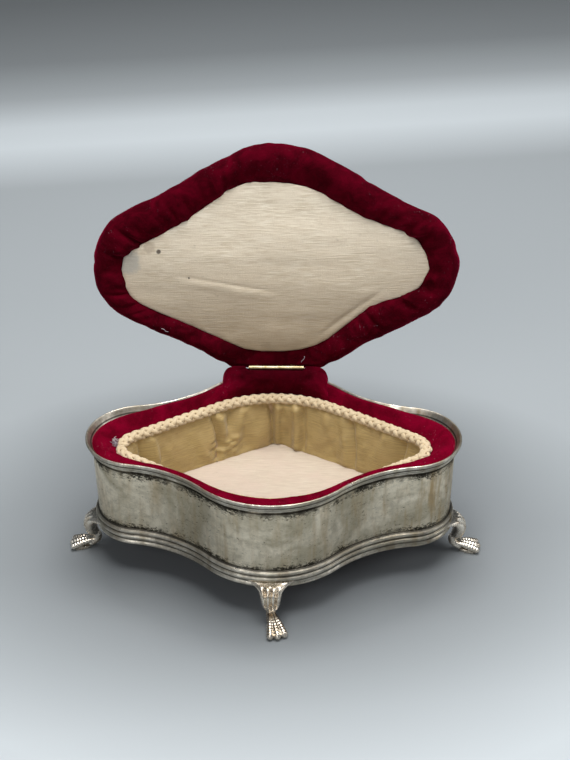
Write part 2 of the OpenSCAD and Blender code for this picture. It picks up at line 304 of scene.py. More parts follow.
class Shader:
    """A small helper that adds and links the nodes of one material."""

    def __init__(self, name):
        self.material = bpy.data.materials.new(name)
        self.material.use_nodes = True
        self.tree = self.material.node_tree
        self.bsdf = self.tree.nodes["Principled BSDF"]

    def node(self, kind, inputs=None, **settings):
        n = self.tree.nodes.new("ShaderNode" + kind)
        for key, value in settings.items():
            setattr(n, key, value)
        for key, value in (inputs or {}).items():
            self.put(n.inputs[key], value)
        return n

    def put(self, socket, value):
        if isinstance(value, bpy.types.NodeSocket):
            self.tree.links.new(value, socket)
        elif isinstance(value, bpy.types.Node):
            self.tree.links.new(value.outputs[0], socket)
        else:
            socket.default_value = value

    def coords(self, scale=(1, 1, 1), uv=False):
        source = self.node("TexCoord").outputs["UV" if uv else "Object"]
        return self.node("Mapping", {"Vector": source, "Scale": scale}).outputs[0]

    def noise(self, where, size, detail=4, rough=0.55, warp=0.0):
        """Noise with features of this size in metres, or in UV units."""
        return self.node("TexNoise", {"Vector": where, "Scale": 1 / size, "Detail": detail,
                                      "Roughness": rough, "Distortion": warp}).outputs["Fac"]

    def ramp(self, factor, *stops):
        r = self.node("ValToRGB", {"Fac": factor})
        elements = r.color_ramp.elements
        while len(elements) < len(stops):
            elements.new(0.5)
        for element, (place, value) in zip(elements, stops):
            element.position = place
            element.color = (*value, 1) if hasattr(value, "__len__") else (value, value, value, 1)
        return r.outputs["Color"]

    def fade(self, factor, low, high):
        """0 below low and 1 above high, as a colour ramp."""
        return self.ramp(factor, (low, 0.0), (high, 1.0))

    def hollows(self, low, high):
        """A mask for painted shade: 1 in the mesh's hollows, by pointiness, and 0 on its flats and
        edges.
        """
        return self.ramp(self.node("NewGeometry").outputs["Pointiness"], (low, 1.0), (high, 0.0))

    def mix(self, factor, a, b):
        """Colour a, turning to b as the factor rises."""
        m = self.node("Mix", data_type="RGBA")
        for name, value in (("Factor", factor), ("A", a), ("B", b)):
            if isinstance(value, tuple):
                value = (*value, 1)
            self.put(next(s for s in m.inputs if s.name == name and s.enabled), value)
        return next(s for s in m.outputs if s.enabled)

    def maths(self, kind, a, b=0.0):
        return self.node("Math", {0: a, 1: b}, operation=kind).outputs[0]

    def times(self, a, b):
        return self.maths("MULTIPLY", a, b)

    def axis(self, where, letter):
        """One coordinate, X, Y or Z, of a place in metres or of a UV place in mm."""
        return self.node("SeparateXYZ", {"Vector": where}).outputs[letter]

    def between(self, value, low, high):
        """Stretches a value from 0 to 1 so that it runs from low to high."""
        return self.node("MapRange", {"Value": value, "To Min": low, "To Max": high}).outputs[0]

    def band(self, value, low, high):
        """0 below low and 1 above high."""
        return self.node("MapRange", {"Value": value, "From Min": low, "From Max": high}).outputs[0]

    def finished(self, *bumps):
        """The material, with bumps of (height, depth in metres) one over another."""
        normal = None
        for height, depth in bumps:
            n = self.node("Bump", {"Height": height, "Distance": depth, "Strength": 1.0})
            if normal is not None:
                self.put(n.inputs["Normal"], normal)
            normal = n.outputs[0]
        self.put(self.bsdf.inputs["Normal"], normal)
        return self.material

    def set(self, **values):
        """Puts colours, numbers or nodes on the shader's own sockets."""
        for key, value in values.items():
            if isinstance(value, tuple) and len(value) == 3:
                value = (*value, 1)
            self.put(self.bsdf.inputs[key.replace("_", " ")], value)


def silver(name, light, dark, warm, stained=1.0, shine=0.3, grooves=()):
    """Worn silver plate: clouded, streaked and sooty, with painted shade to the right and in its
    hollows and grooves (height, half width; mm).
    """
    s = Shader(name)
    here = s.coords()
    cloudy = s.noise(here, 0.022, 5, 0.62, 0.6)
    fine = s.noise(here, 0.0035, 6, 0.7)
    streak = s.noise(s.coords((1, 1, 0.12)), 0.004, 4, 0.6, 0.3)
    base = s.mix(s.fade(cloudy, 0.4, 0.6), light, dark)
    # painted shade: the warm streaks grow stronger towards the right, darkening that side of the wall
    right = s.band(s.axis(here, "X"), 0.02, 0.075)
    strength = s.maths("ADD", 0.5, s.times(right, 0.5))
    streaks_and_shade = s.times(s.fade(streak, 0.46, 0.68), strength)
    base = s.mix(streaks_and_shade, base, warm)
    base = s.mix(s.times(s.fade(fine, 0.45, 0.7), 0.45), base, tuple(0.55 * c for c in dark))
    z = s.axis(here, "Z")
    near_rim = s.band(z, (CREST - 11) * MM, (CREST - 6) * MM)
    near_base = s.band(z, (MOULD_BOTTOM + 12) * MM, (MOULD_BOTTOM + 7.5) * MM)
    speck = s.noise(s.coords((1, 1, 1.6)), 0.0016, 6, 0.75, 0.4)
    patch = s.noise(here, 0.012, 3, 0.6)
    edges = s.maths("MAXIMUM", near_rim, near_base)
    spread = s.maths("ADD", s.times(edges, 0.27), speck)
    spread = s.maths("ADD", spread, s.times(cloudy, 0.15))
    soot = s.times(s.fade(spread, 0.66, 0.76), s.ramp(patch, (0.36, 0.25), (0.56, 1.0)))
    base = s.mix(s.times(soot, 0.9 * stained), base, (0.015, 0.014, 0.012))
    rough = s.maths("ADD", s.between(fine, shine, shine + 0.22), s.times(soot, 0.3))
    # painted shade, nearly black, in the hollows and along the grooves' lines
    crease = s.hollows(0.40, 0.475)
    for line, half in grooves:
        away = s.maths("ABSOLUTE", s.maths("SUBTRACT", z, line * MM))
        crease = s.maths("MAXIMUM", crease, s.band(away, half * MM, 0.35 * half * MM))
    base = s.mix(s.times(crease, 0.85), base, (0.03, 0.026, 0.02))
    s.set(Base_Color=base, Metallic=1.0, Roughness=rough)
    return s.finished((cloudy, 0.0006), (fine, 0.00006), (speck, 0.00002))


def foot_silver():
    """Cast silver, brighter than the plate, with painted shade in its hollows."""
    s = Shader("cast_foot")
    here = s.coords()
    blotch = s.noise(here, 0.005, 4, 0.6)
    fine = s.noise(here, 0.0012, 5, 0.7)
    base = s.mix(s.fade(blotch, 0.4, 0.62), (0.92, 0.85, 0.74), (0.66, 0.56, 0.44))
    # painted shade in the hollows
    base = s.mix(s.times(s.hollows(0.41, 0.475), 0.85), base, (0.05, 0.035, 0.03))
    s.set(Base_Color=base, Metallic=1.0, Roughness=s.between(fine, 0.2, 0.34))
    return s.finished((fine, 0.00002))


def brass():
    """Old brass, browned and scratched along X."""
    s = Shader("aged_brass")
    here = s.coords()
    tone = s.noise(here, 0.002, 5, 0.65)
    base = s.mix(s.fade(tone, 0.35, 0.65), (0.50, 0.42, 0.26), (0.26, 0.20, 0.10))
    s.set(Base_Color=base, Metallic=1.0, Roughness=s.between(tone, 0.22, 0.42))
    return s.finished((s.noise(s.coords((0.2, 1, 1)), 0.0004, 3), 0.00003))


def velvet(name, deep, pile, dust, hinge_shade=0.0):
    """Cotton velvet: dark seen straight on, with lint caught in it, and with painted shade over the
    hinge block.
    """
    s = Shader(name)
    here = s.coords()
    crush = s.noise(here, 0.009, 4, 0.6, 0.8)
    nap = s.noise(here, 0.0007, 3, 0.7)
    base = s.mix(s.fade(crush, 0.38, 0.66), deep, pile)
    base = s.mix(s.times(nap, 0.4), base, tuple(1.5 * c for c in pile))
    where = s.noise(here, 0.02, 3, 0.6)
    threads = s.noise(s.coords((1, 0.35, 1)), 0.0011, 2, 0.5, 2.5)
    lint = s.times(s.fade(threads, 0.69, 0.75), s.fade(where, 0.45, 0.62))
    base = s.mix(s.times(lint, dust), base, (0.42, 0.26, 0.30))
    # painted shade over the hinge block and the collar beside it
    if hinge_shade:
        middle = s.band(s.maths("ABSOLUTE", s.axis(here, "X")), 0.031, 0.015)
        rear = s.band(s.axis(here, "Y"), 0.030, 0.043)
        base = s.mix(s.times(s.times(middle, rear), hinge_shade), base, (0.006, 0.0001, 0.0005))
    s.set(Base_Color=base, Roughness=0.92, Specular_IOR_Level=0.02, Sheen_Weight=0.6,
          Sheen_Roughness=0.34, Sheen_Tint=(0.5, 0.004, 0.06))
    return s.finished((crush, 0.0005), (nap, 0.00022))


def satin(name, light, dark, thread, stain, sheen=0.35, rough=0.42, fine=16, painted_shade=None, spots_at=()):
    """Slub silk or satin: fine threads along U, soft clouds, a few stains, and painted shade growing
    up V.

    Each of spots_at is a stain's x, y, radius, colour and strength.
    """
    s = Shader(name)
    plain = s.coords(uv=True)
    slub = s.noise(s.coords((1, fine, 1), uv=True), 9.0, 6, 0.7, 0.4)
    cross = s.noise(s.coords((9, 1, 1), uv=True), 4.0, 3, 0.6)
    cloud = s.noise(plain, 16.0, 4, 0.6, 0.5)
    base = s.mix(s.fade(slub, 0.40, 0.60), light, dark)
    base = s.mix(s.times(s.fade(cloud, 0.42, 0.62), 0.6), base, thread)
    spots = s.noise(plain, 3.2, 5, 0.7)
    dirty = s.times(s.fade(spots, 0.6, 0.76), s.fade(cloud, 0.45, 0.6))
    base = s.mix(s.times(dirty, 0.55), base, stain)
    # painted shade, darker towards high V: the lower part of the open lid's panel
    if painted_shade:
        base = s.mix(s.times(s.band(s.axis(plain, "Y"), -18, 40), 0.88), base, painted_shade)
    for x, y, radius, colour, strength in spots_at:
        away = s.node("VectorMath", {0: plain, 1: (x, y, 0)}, operation="DISTANCE").outputs["Value"]
        ragged = s.maths("ADD", away, s.times(spots, radius))
        inside = s.band(ragged, 1.6 * radius, 1.2 * radius)
        base = s.mix(s.times(inside, strength), base, colour)
    s.set(Base_Color=base, Roughness=rough, Specular_IOR_Level=0.35, Sheen_Weight=sheen,
          Sheen_Roughness=0.4, Anisotropic=0.4)
    return s.finished((slub, 0.00032), (cross, 0.00008), (s.noise(plain, 0.5, 2), 0.00005))


def cotton_cord():
    """Yellowed cotton, with painted shade in the gaps between its strands."""
    s = Shader("cotton_cord")
    hairs = s.noise(s.coords((0.25, 1, 1), uv=True), 0.4, 3, 0.6)
    tone = s.noise(s.coords(), 0.009, 3, 0.6)
    base = s.mix(s.fade(tone, 0.38, 0.65), (0.66, 0.52, 0.33), (0.56, 0.425, 0.25))
    base = s.mix(s.times(hairs, 0.5), base, (0.74, 0.62, 0.43))
    # painted shade in the gaps between the strands
    base = s.mix(s.times(s.hollows(0.42, 0.5), 0.7), base, (0.20, 0.13, 0.06))
    s.set(Base_Color=base, Roughness=0.75, Specular_IOR_Level=0.2, Sheen_Weight=0.3,
          Sheen_Roughness=0.5)
    return s.finished((hairs, 0.00012))


def fibre():
    """Grey lint and loose cotton."""
    s = Shader("loose_fibre")
    tone = s.noise(s.coords(), 0.0012, 2)
    base = s.mix(s.fade(tone, 0.4, 0.6), (0.48, 0.42, 0.38), (0.28, 0.23, 0.30))
    s.set(Base_Color=base, Roughness=0.7, Sheen_Weight=0.3)
    return s.finished((tone, 0.00005))


def wood():
    """Plain softwood with its grain along X."""
    s = Shader("softwood")
    grain = s.noise(s.coords((0.08, 1, 1)), 0.0022, 4, 0.6, 0.6)
    base = s.mix(s.fade(grain, 0.35, 0.7), (0.50, 0.36, 0.21), (0.30, 0.19, 0.10))
    s.set(Base_Color=base, Roughness=0.7)
    return s.finished((grain, 0.00015))


def plain_card():
    """Brownish grey pulp card."""
    s = Shader("grey_card")
    pulp = s.noise(s.coords(), 0.0015, 5, 0.7)
    s.set(Base_Color=s.mix(pulp, (0.50, 0.45, 0.36), (0.36, 0.31, 0.24)), Roughness=0.85)
    return s.finished((pulp, 0.0001))


def under_cloth():
    """Worn red cloth in a plain weave."""
    s = Shader("under_cloth")
    weave = 1.0
    for way in "XY":
        threads = s.node("TexWave", {"Vector": s.coords(), "Scale": 900.0}, bands_direction=way)
        weave = s.times(weave, threads.outputs["Fac"])
    worn = s.noise(s.coords(), 0.015, 5, 0.6)
    base = s.mix(s.fade(worn, 0.4, 0.7), (0.10, 0.012, 0.02), (0.17, 0.03, 0.04))
    s.set(Base_Color=base, Roughness=0.9, Sheen_Weight=0.3, Sheen_Roughness=0.5)
    return s.finished((weave, 0.0001))


# the grooves given here are lines of painted shade: where the wall meets the rim and the moulding, and
# between the beads
SILVER = silver("silver_plate", (0.84, 0.755, 0.60), (0.51, 0.45, 0.33), (0.45, 0.32, 0.165),
                grooves=((CREST - 6.2, 0.6), (MOULD_BOTTOM + 8.2, 0.6)))
BEAD = silver("silver_beads", (0.95, 0.89, 0.77), (0.60, 0.54, 0.43), (0.46, 0.36, 0.22),
              stained=0.5, shine=0.1,
              grooves=((CREST - 2.3, 0.45), (CREST - 3.8, 0.3), (CREST - 5.3, 0.4),
                       (MOULD_BOTTOM + 2.4, 0.4), (MOULD_BOTTOM + 5.4, 0.35),
                       (MOULD_BOTTOM + 7.9, 0.35)))
CAST = foot_silver()
BRASS = brass()
# the crimson velvet gets painted shade over the hinge block
CRIMSON = velvet("crimson_velvet", (0.06, 0.0002, 0.004), (0.16, 0.0005, 0.013), 0.6, hinge_shade=0.72)
BURGUNDY = velvet("burgundy_velvet", (0.016, 0.0002, 0.0012), (0.078, 0.0004, 0.006), 0.5)
# the ivory silk's painted shade darkens the lower part of the open lid's panel
IVORY = satin("ivory_silk", (1.0, 0.90, 0.73), (0.74, 0.62, 0.455), (0.88, 0.76, 0.59),
              (0.24, 0.18, 0.11), painted_shade=(0.26, 0.19, 0.11),
              spots_at=((-52.8, -6, 1.1, (0.05, 0.03, 0.02), 0.85),
                        (-39.4, 6, 0.5, (0.04, 0.03, 0.02), 0.9),
                        (-57, -8, 3, (0.30, 0.20, 0.11), 0.35),
                        (-67, -1, 6, (0.36, 0.37, 0.35), 0.55)))
PAD_SILK = satin("pad_silk", (0.66, 0.565, 0.45), (0.55, 0.45, 0.35), (0.63, 0.50, 0.41),
                 (0.40, 0.30, 0.20), sheen=0.2, rough=0.6, fine=20)
GOLD = satin("gold_satin", (0.53, 0.385, 0.155), (0.34, 0.235, 0.09), (0.47, 0.33, 0.14),
             (0.20, 0.12, 0.05), sheen=0.3, rough=0.36, fine=30)
CORD = cotton_cord()
WOOD = wood()
CARD = plain_card()
UNDER = under_cloth()
FIBRE = fibre()


# --- metalwork ---

def wall_sheet():
    """The plated wall, leaning a little outwards on its way up to the rim."""
    back = WALL_BACK - 0.1
    profile = [(back, 0.5), (-3.75, 0.5), (-3.7, 8), (-3.3, 20), (-2.85, CREST - 8),
               (-2.8, CREST - 4.8), (back, CREST - 4.8), (back, 20)]
    ride(swept("wall_band_sheet", profile, SILVER), "base", "silver_plate", "wall_band")


def top_rim():
    """A thin edge with a sloping face inside, and below it outside two steps and a bead."""
    corners = [(WALL_BACK - 0.1, -6), (WALL_BACK - 0.05, -4.9), (-3.0, -3.3), (-1.9, -1.9),
               (-1.25, -0.75), (-0.65, 0.1), (-0.1, 0), (0.15, -0.5), (0, -1.4), (-0.6, -1.9),
               (-1.25, -1.9), (-0.95, -2.6), (-0.8, -3.1), (-1.3, -3.5), (-2.1, -3.5), (-1.8, -4.1),
               (-1.7, -4.6), (-2.3, -5.0), (-2.9, -5.2), (-2.9, -6.2)]
    profile = [(o, CREST + z) for o, z in rounded(corners, 2, closed=True)]
    ride(swept("top_rim_bead", profile, BEAD), "base", "silver_plate", "top_rim")


def base_moulding():
    """Three reeds, one over another."""
    back = WALL_BACK - 0.5
    corners = [(back, 2), (back, 0), (-3.2, 0), (-2.5, 0.3), (-2.3, 1.0), (-2.6, 1.6), (-3.0, 2.0),
               (-3.1, 2.8), (-2.7, 3.3), (-2.2, 3.5), (-1.9, 4.2), (-2.2, 4.9), (-2.9, 5.1),
               (-2.9, 5.8), (-2.4, 6.1), (-2.1, 6.7), (-2.4, 7.4), (-3.1, 7.6), (-3.8, 8.2),
               (-4.2, 8.2)]
    profile = [(o, MOULD_BOTTOM + z) for o, z in rounded(corners, 2, closed=True)]
    ride(swept("base_moulding_reeds", profile, BEAD), "base", "silver_plate", "base_moulding")


def tube(path, radii, across=14):
    """Round rings of these radii along a 3D path."""
    tangent = unit(np.gradient(path, axis=0))
    side = unit(np.cross(tangent, [0, 0, 1.0]))
    up = np.cross(side, tangent)
    angles = np.linspace(0, 2 * math.pi, across, endpoint=False)[None, :, None]
    circles = np.cos(angles) * side[:, None] + np.sin(angles) * up[:, None]
    return path[:, None] + radii[:, None, None] * circles


def toe(lateral, reach):
    """A finely ribbed toe, from the instep out to its round tip."""
    t = np.linspace(0, 1, 44)
    path = np.stack([1.2 + (reach + 0.7 * (lateral == 0)) * t, lateral * (0.2 + 0.8 * t ** 0.9),
                     SOLE + 4.6 - 3.2 * t ** 1.1 + 0.35 * np.sin(math.pi * t)], 1)
    ribs = 1 + 0.085 * np.cos(2 * math.pi * 10 * t) * ease(t, 0.2, 0.5)
    tip = np.sqrt(np.clip(1 - ((t - 0.88) / 0.12).clip(0) ** 2, 0.02, 1))
    rings = tube(path, (1.1 + 0.45 * ease(t, 0.1, 0.8)) * ribs * tip)
    return grid_piece("toe", rings, CAST, cap=True)


def leg(bend):
    """A fluted cabriole leg along +X, its top curved to a moulding of radius bend."""
    t = np.linspace(0, 1, 56)
    line = curve_through([
        # place, out, up, half width, half thickness
        [0.00, -1.2, 1.6, 10.5, 0.5],
        [0.07, 0.2, 0.4, 7.4, 1.2],
        [0.17, 2.2, -0.9, 5.1, 2.4],
        [0.30, 3.5, -3.2, 4.5, 2.9],
        [0.42, 3.5, -5.8, 4.1, 2.9],
        [0.53, 2.7, -8.0, 3.7, 2.8],
        [0.58, 2.0, -9.0, 3.2, 2.6],
        [0.63, 1.2, -9.8, 2.1, 1.8],
        [0.74, 0.2, -11.4, 2.1, 1.9],
        [0.87, 0.8, -13.6, 2.2, 1.9],
        [1.00, 4.0, SOLE + 2.6, 2.8, 1.7]], t)
    tangent = unit(np.gradient(line[:, :2], axis=0))
    normal = np.stack([-tangent[:, 1], tangent[:, 0]], 1)
    angles = np.linspace(0, 2 * math.pi, 72, endpoint=False)
    rings = []
    for place, (out, up, wide, thick), n in zip(t, line, normal):
        v = wide * np.sin(angles)
        lift = thick * np.cos(angles)
        flute = sum(bump(v / wide, c, 0.1) for c in (-0.5, 0.0, 0.5))
        lift -= ((lift > 0) * flute * 1.9 * ease(place, 0.1, 0.2)
                 * (1 - ease(place, 0.46, 0.57)))
        sag = v ** 2 / (2 * bend) * (1 - ease(place, 0.1, 0.45))
        rings.append(np.stack([out + n[0] * lift - sag, v, up + n[1] * lift], 1))
    return grid_piece("leg", rings, CAST, cap=True)


def paw_sole(reach):
    """The flat sole that joins three toes of this reach."""
    corners = [[3.5, -2], [reach - 1.4, -3.9], [reach, -3], [reach, 3], [reach - 1.4, 3.9], [3.5, 2]]
    outline = rounded(corners, 2, closed=True)
    rows = [at_height(outline, SOLE), at_height(outline * [1, 0.96], SOLE + 1.4)]
    return grid_piece("sole", rows, CAST, cap=True)


def planted(piece, twist):
    """Flattens a foot's sole on the ground, and turns its paw by twist below the ankle."""
    ground, sole_band, pivot = SOLE * MM, 0.0008, 0.001
    ankle_low, ankle_high = -12.5, -9
    low = min(v.co.z for v in piece.data.vertices)
    for v in piece.data.vertices:
        v.co.z += max(0, ground - low) * (v.co.z < ground + sole_band)
        v.co.z = max(v.co.z, ground)
        turn = twist * (1 - float(ease(v.co.z / MM, ankle_low, ankle_high)))
        out, aside = v.co.x - pivot, v.co.y
        v.co.x = pivot + out * math.cos(turn) - aside * math.sin(turn)
        v.co.y = out * math.sin(turn) + aside * math.cos(turn)


def foot_mesh(name, bend, twist=0.0, reach=11.4):
    """A cast foot along +X under a moulding of radius bend: leg, toes and sole in one skin."""
    toes = [toe(lateral, reach) for lateral in (-3.3, 0.0, 3.3)]
    piece = joined([leg(bend), *toes, paw_sole(reach)], name)
    remesh = piece.modifiers.new("weld", "REMESH")
    remesh.mode = "VOXEL"
    remesh.voxel_size = 0.24 * MM
    remesh.use_smooth_shade = True
    soften = piece.modifiers.new("soften", "SMOOTH")
    soften.factor = 0.5
    soften.iterations = 2
    settle(piece)
    planted(piece, twist)
    piece.data.polygons.foreach_set("use_smooth", [True] * len(piece.data.polygons))
    return piece


def feet():
    """Four feet from three masters; the front one reaches further and its paw is turned."""
    masters = {"tip": foot_mesh("foot_tip", TIP_R + MOULD_FACE),
               "lobe": foot_mesh("foot_lobe", LOBE_R + MOULD_FACE),
               "bent": foot_mesh("foot_bent", LOBE_R + MOULD_FACE, math.radians(14), 13.4)}
    for side, master, angle, edge in (("right", "tip", 0, HALF_W), ("left", "tip", 180, HALF_W),
                                      ("back", "lobe", 90, HALF_D), ("front", "bent", -90, HALF_D)):
        piece = in_scene(f"foot_{side}_casting", masters[master].data.copy())
        turn = Matrix.Rotation(math.radians(angle), 4, "Z")
        piece.data.transform(turn @ Matrix.Translation((float(edge + MOULD_FACE) * MM, 0, 0)))
        ride(piece, "base", "cast_foot", f"foot_{side}")
    for master in masters.values():
        bpy.data.objects.remove(master)


# --- lining, collar and cord ---

def collar():
    """Padded velvet from the rim's inner slope to the cord: low at the tips, full in front."""
    probe = box_ring(0, even=True)
    tip = ease(np.abs(probe[:, 0]), 46, 76)
    front = ease(-probe[:, 1], 0, 22)
    inset = 1.05 * (1 - tip) + 2.7 * tip
    near, far = box_ring(-1, even=True), box_ring(-4, even=True)
    outer = near + (far - near) * ((inset - 1) / 3)[:, None]
    inner = lozenge_ring(CORD_ARCS, CORD_R * 0.55)
    width = np.linalg.norm(outer - inner, axis=1)
    # where the velvet leaves the rim's inner slope, by how far in it starts
    start = np.interp(inset, [0.65, 1.25, 1.9, 3.0], [0.0, -0.8, -2.0, -3.4])
    crown = -0.5 - 1.3 * tip + 0.3 * front * (1 - 0.5 * tip)
    turn = (0.28 + 0.22 * front) * width
    rows = []
    for v in np.linspace(0, 1, 28):
        d = v * width
        rise = crown - (crown - start) * np.clip(1 - d / turn, 0, 1) ** 2
        fall = crown - (crown + 8.0) * np.clip((d - turn) / (width - turn), 0, 1) ** 1.55
        p = at_height(outer + (inner - outer) * v, CREST + np.where(d < turn, rise, fall))
        p[:, 2] += (0.3 * noise(p, 8, 3) + 0.14 * noise(p, 3, 4)) * math.sin(math.pi * v) ** 0.5
        rows.append(p)
    wall = box_ring(WALL_BACK + 0.1, even=True)
    rows = [at_height(wall, CREST - 10.5), at_height(wall, CREST - 5.5)] + rows
    rows.append(at_height(inner, CREST - 10.5))
    piece = outward(grid_piece("velvet_collar_roll", rows, CRIMSON, round_v=True))
    ride(piece, "base", "crimson_velvet", "velvet_collar")


def hinge_mound():
    """Velvet over the hinge block: up from the collar, under the barrel and down over the rim."""
    half, middle_x = 24.3, -0.5
    barrel_end = 12.8, 13.8
    dents = ((-15.6, 1.3, 1.7), (14.8, 1.1, 2.0), (-20.4, 0.7, 1.2))      # place, depth, width
    # depth, height over the crest, and how far the point follows the lobe's curve
    low = [[43.3, -9, 1], [43.2, -6.5, 1], [42.7, -4.4, 1], [42.4, -1, 0.8], [42.4, 1.4, 0.4]]
    under = [[42.8, 3.3, 0.1], [43.7, 4.4, 0], [45.0, 4.9, 0], [46.2, 4.7, 0], [46.9, 3.9, 0],
             [48.2, 3.25, 0], [49.2, 3.3, 0], [49.85, 3.3, 0], [50.4, 3.1, 0]]
    beside = [[42.8, 3.2, 0.1], [43.8, 4.3, 0], [45.2, 4.8, 0], [46.3, 5.0, 0], [47.1, 5.5, 0],
              [48.0, 5.9, 0], [48.8, 5.3, 0], [49.4, 4.0, 0], [50.4, 3.2, 0]]
    behind = [[51.4, 2.8, 0.2], [52.2, 1.6, 0.6], [52.45, 0, 1], [52.1, -1.4, 1]]
    middle, shoulder = (resample(rounded(low + top + behind, 1), 56) for top in (under, beside))
    rings = []
    for x in half * np.sin(np.linspace(-math.pi / 2, math.pi / 2, 121)):
        mix = ease(abs(x), *barrel_end)
        y, z, follow = (middle * (1 - mix) + shoulder * mix).T
        radius = np.where(y < 46, 47, LOBE_R)
        y = y - follow * (radius - np.sqrt(radius ** 2 - x ** 2))
        z = np.where(z > -3, -3 + (z + 3) * max(0, 1 - abs(x / half) ** 12) ** 0.5, z)
        p = np.column_stack([np.full(len(y), x + middle_x), y, CREST + z])
        give = ease(np.abs(p[:, 1] - 47.5), 1.5, 4)
        slack = (0.3 + 0.5 * noise(p, 5, 10) + 0.3 * noise(p, 2.3, 11)).clip(0)
        p[:, 1] -= slack * give * (p[:, 1] < 46)
        p[:, 2] += 0.3 * noise(p, 4, 8).clip(0) * give * (z > 3)
        for place, depth, width in dents:
            dent = depth * bump(x, place, width) * bump(z, 2.8, 1.6) * (p[:, 1] < 47)
            p[:, 1] += dent
            p[:, 2] -= 0.5 * dent
        rings.append(p)
    piece = outward(grid_piece("hinge_block_velvet", rings, CRIMSON, cap=True))
    ride(piece, "base", "crimson_velvet", "hinge_block_cover")


# The lining's folds: place along the back, depth (+ stands out), width, and lean with height.
FOLDS = ((-29.5, -1.5, 0.7, 3.5), (-26.6, 1.5, 2.0, 3.0), (-19, -0.9, 2.4, -4.0),
         (-14, 0.8, 3.0, -5.0), (-2.5, -1.9, 1.3, 1.0), (1.2, 1.5, 1.7, -1.5),
         (9.5, 1.4, 1.5, 0.3), (12.6, -1.1, 1.0, 0.3), (31, 0.8, 2.2, 2.0),
         (34, -1.0, 1.2, 2.0), (57.5, -1.8, 1.7, -1.5), (51, 1.2, 3.0, -1.5),
         (-60, -1.6, 1.2, 1.0), (-56, 1.0, 2.2, 1.0))


def lining():
    """Champagne satin down the well's sides, with the creases of old hand work."""
    top = lozenge_ring(CORD_ARCS, -CORD_R * 0.5)
    low = lozenge_ring(FLOOR_ARCS, 0.4)
    steps = np.linspace(0, 1, 34)
    inwards = -unit(top)
    back = top[:, 1] > 0
    rows = []
    for v in steps:
        p = top + (low - top) * v
        z = CORD_Z - CORD_R * 0.6 + (FLOOR_Z - 0.8 - CORD_Z + CORD_R * 0.6) * v
        out = np.full(len(p), 0.5 * math.sin(math.pi * v))
        q = at_height(p, z)
        out += 1.0 * noise(q * [1, 1, 0.45], 8, 21) + 0.4 * noise(q * [1, 1, 0.6], 3, 22)
        hold = ease(v, 0, 0.12) * (1 - ease(v, 0.9, 1))
        for place, depth, width, slope in FOLDS:
            at = place + slope * math.sin(2.2 * v)
            out += 1.3 * depth * bump(p[:, 0], at, width) * back
            # the front has the same folds, softened and mirrored
            out += 0.7 * depth * bump(p[:, 0], -at * 0.9, width * 1.4) * ~back
        pucker = bump(p[:, 0], -24, 7) * back * bump(v, 0.72, 0.2)
        out += pucker * 1.4 * noise(q * [1, 1, 2], 3.2, 23)
        out = np.maximum(1.4 * out, -2.4)
        p = p + inwards * (out * (0.25 + 0.75 * hold))[:, None]
        rows.append(at_height(p, z))
    length = lengths(top)
    uv = np.stack(np.broadcast_arrays(length[None, :], (steps * 24)[:, None]), -1)
    piece = grid_piece("side_lining_satin", rows, GOLD, uv=uv, sub=1)
    thick = piece.modifiers.new("thick", "SOLIDIFY")
    thick.thickness = 0.4 * MM
    thick.offset = 1
    piece.modifiers.move(1, 0)
    settle(piece)
    ride(piece, "base", "gold_satin", "side_lining")


def floor_pad():
    """A thin silk pad over the floor, dented beside the hinge."""
    edge = lozenge_ring(FLOOR_ARCS, 0.9)
    rows = []
    profile = [(1.0, -4.5), (1.0, -1.6), (0.995, -0.5), (0.98, 0.05)]
    profile += [(s, 0.1 + 0.75 * (1 - s ** 3)) for s in np.linspace(0.955, 0.02, 34)]
    for scale, z in profile:
        p = at_height(edge * scale, FLOOR_Z + z - 0.5)
        soft = 0.4 * noise(p, 13, 31) * (1 - scale ** 4)
        slubs = 0.16 * noise(p * [1, 2.2, 1], 4.5, 32) * (scale < 0.99)
        p[:, 2] += soft + slubs
        p[:, 2] -= 0.5 * bump(p[:, 0] + 4, 0, 3.5) * bump(p[:, 1], 33, 4)
        rows.append(p)
    uv = np.array(rows)[..., :2]
    piece = outward(grid_piece("floor_pad_silk", rows, PAD_SILK, cap=True, uv=uv))
    ride(piece, "base", "ivory_silk", "floor_pad")


def cord_line():
    """The cord from the left tip round to it: points, directions aside, and places along it."""
    quarter, gap, count = 360, 0.4, 940
    path = np.roll(lozenge_ring(CORD_ARCS, 0, quarter), -2 * quarter, axis=0)
    path = np.concatenate([path, path[:1]])
    at = np.linspace(gap, lengths(path)[-1] - gap, count)
    centre = points_at(path, at)
    tangent = unit(np.gradient(centre, axis=0))
    return centre, np.stack([tangent[:, 1], -tangent[:, 0]], 1), at


def flat_strand(line, facing, half_width, half_thickness):
    """Oval rings along a line, with the oval's thin way turned to the facing directions."""
    along = unit(np.gradient(line, axis=0))
    wide = unit(np.cross(along, facing))
    thin = np.cross(wide, along)
    angles = np.linspace(0, 2 * math.pi, 10, endpoint=False)[None, :, None]
    return (line[:, None] + half_width * np.cos(angles) * wide[:, None]
            + half_thickness * np.sin(angles) * thin[:, None])


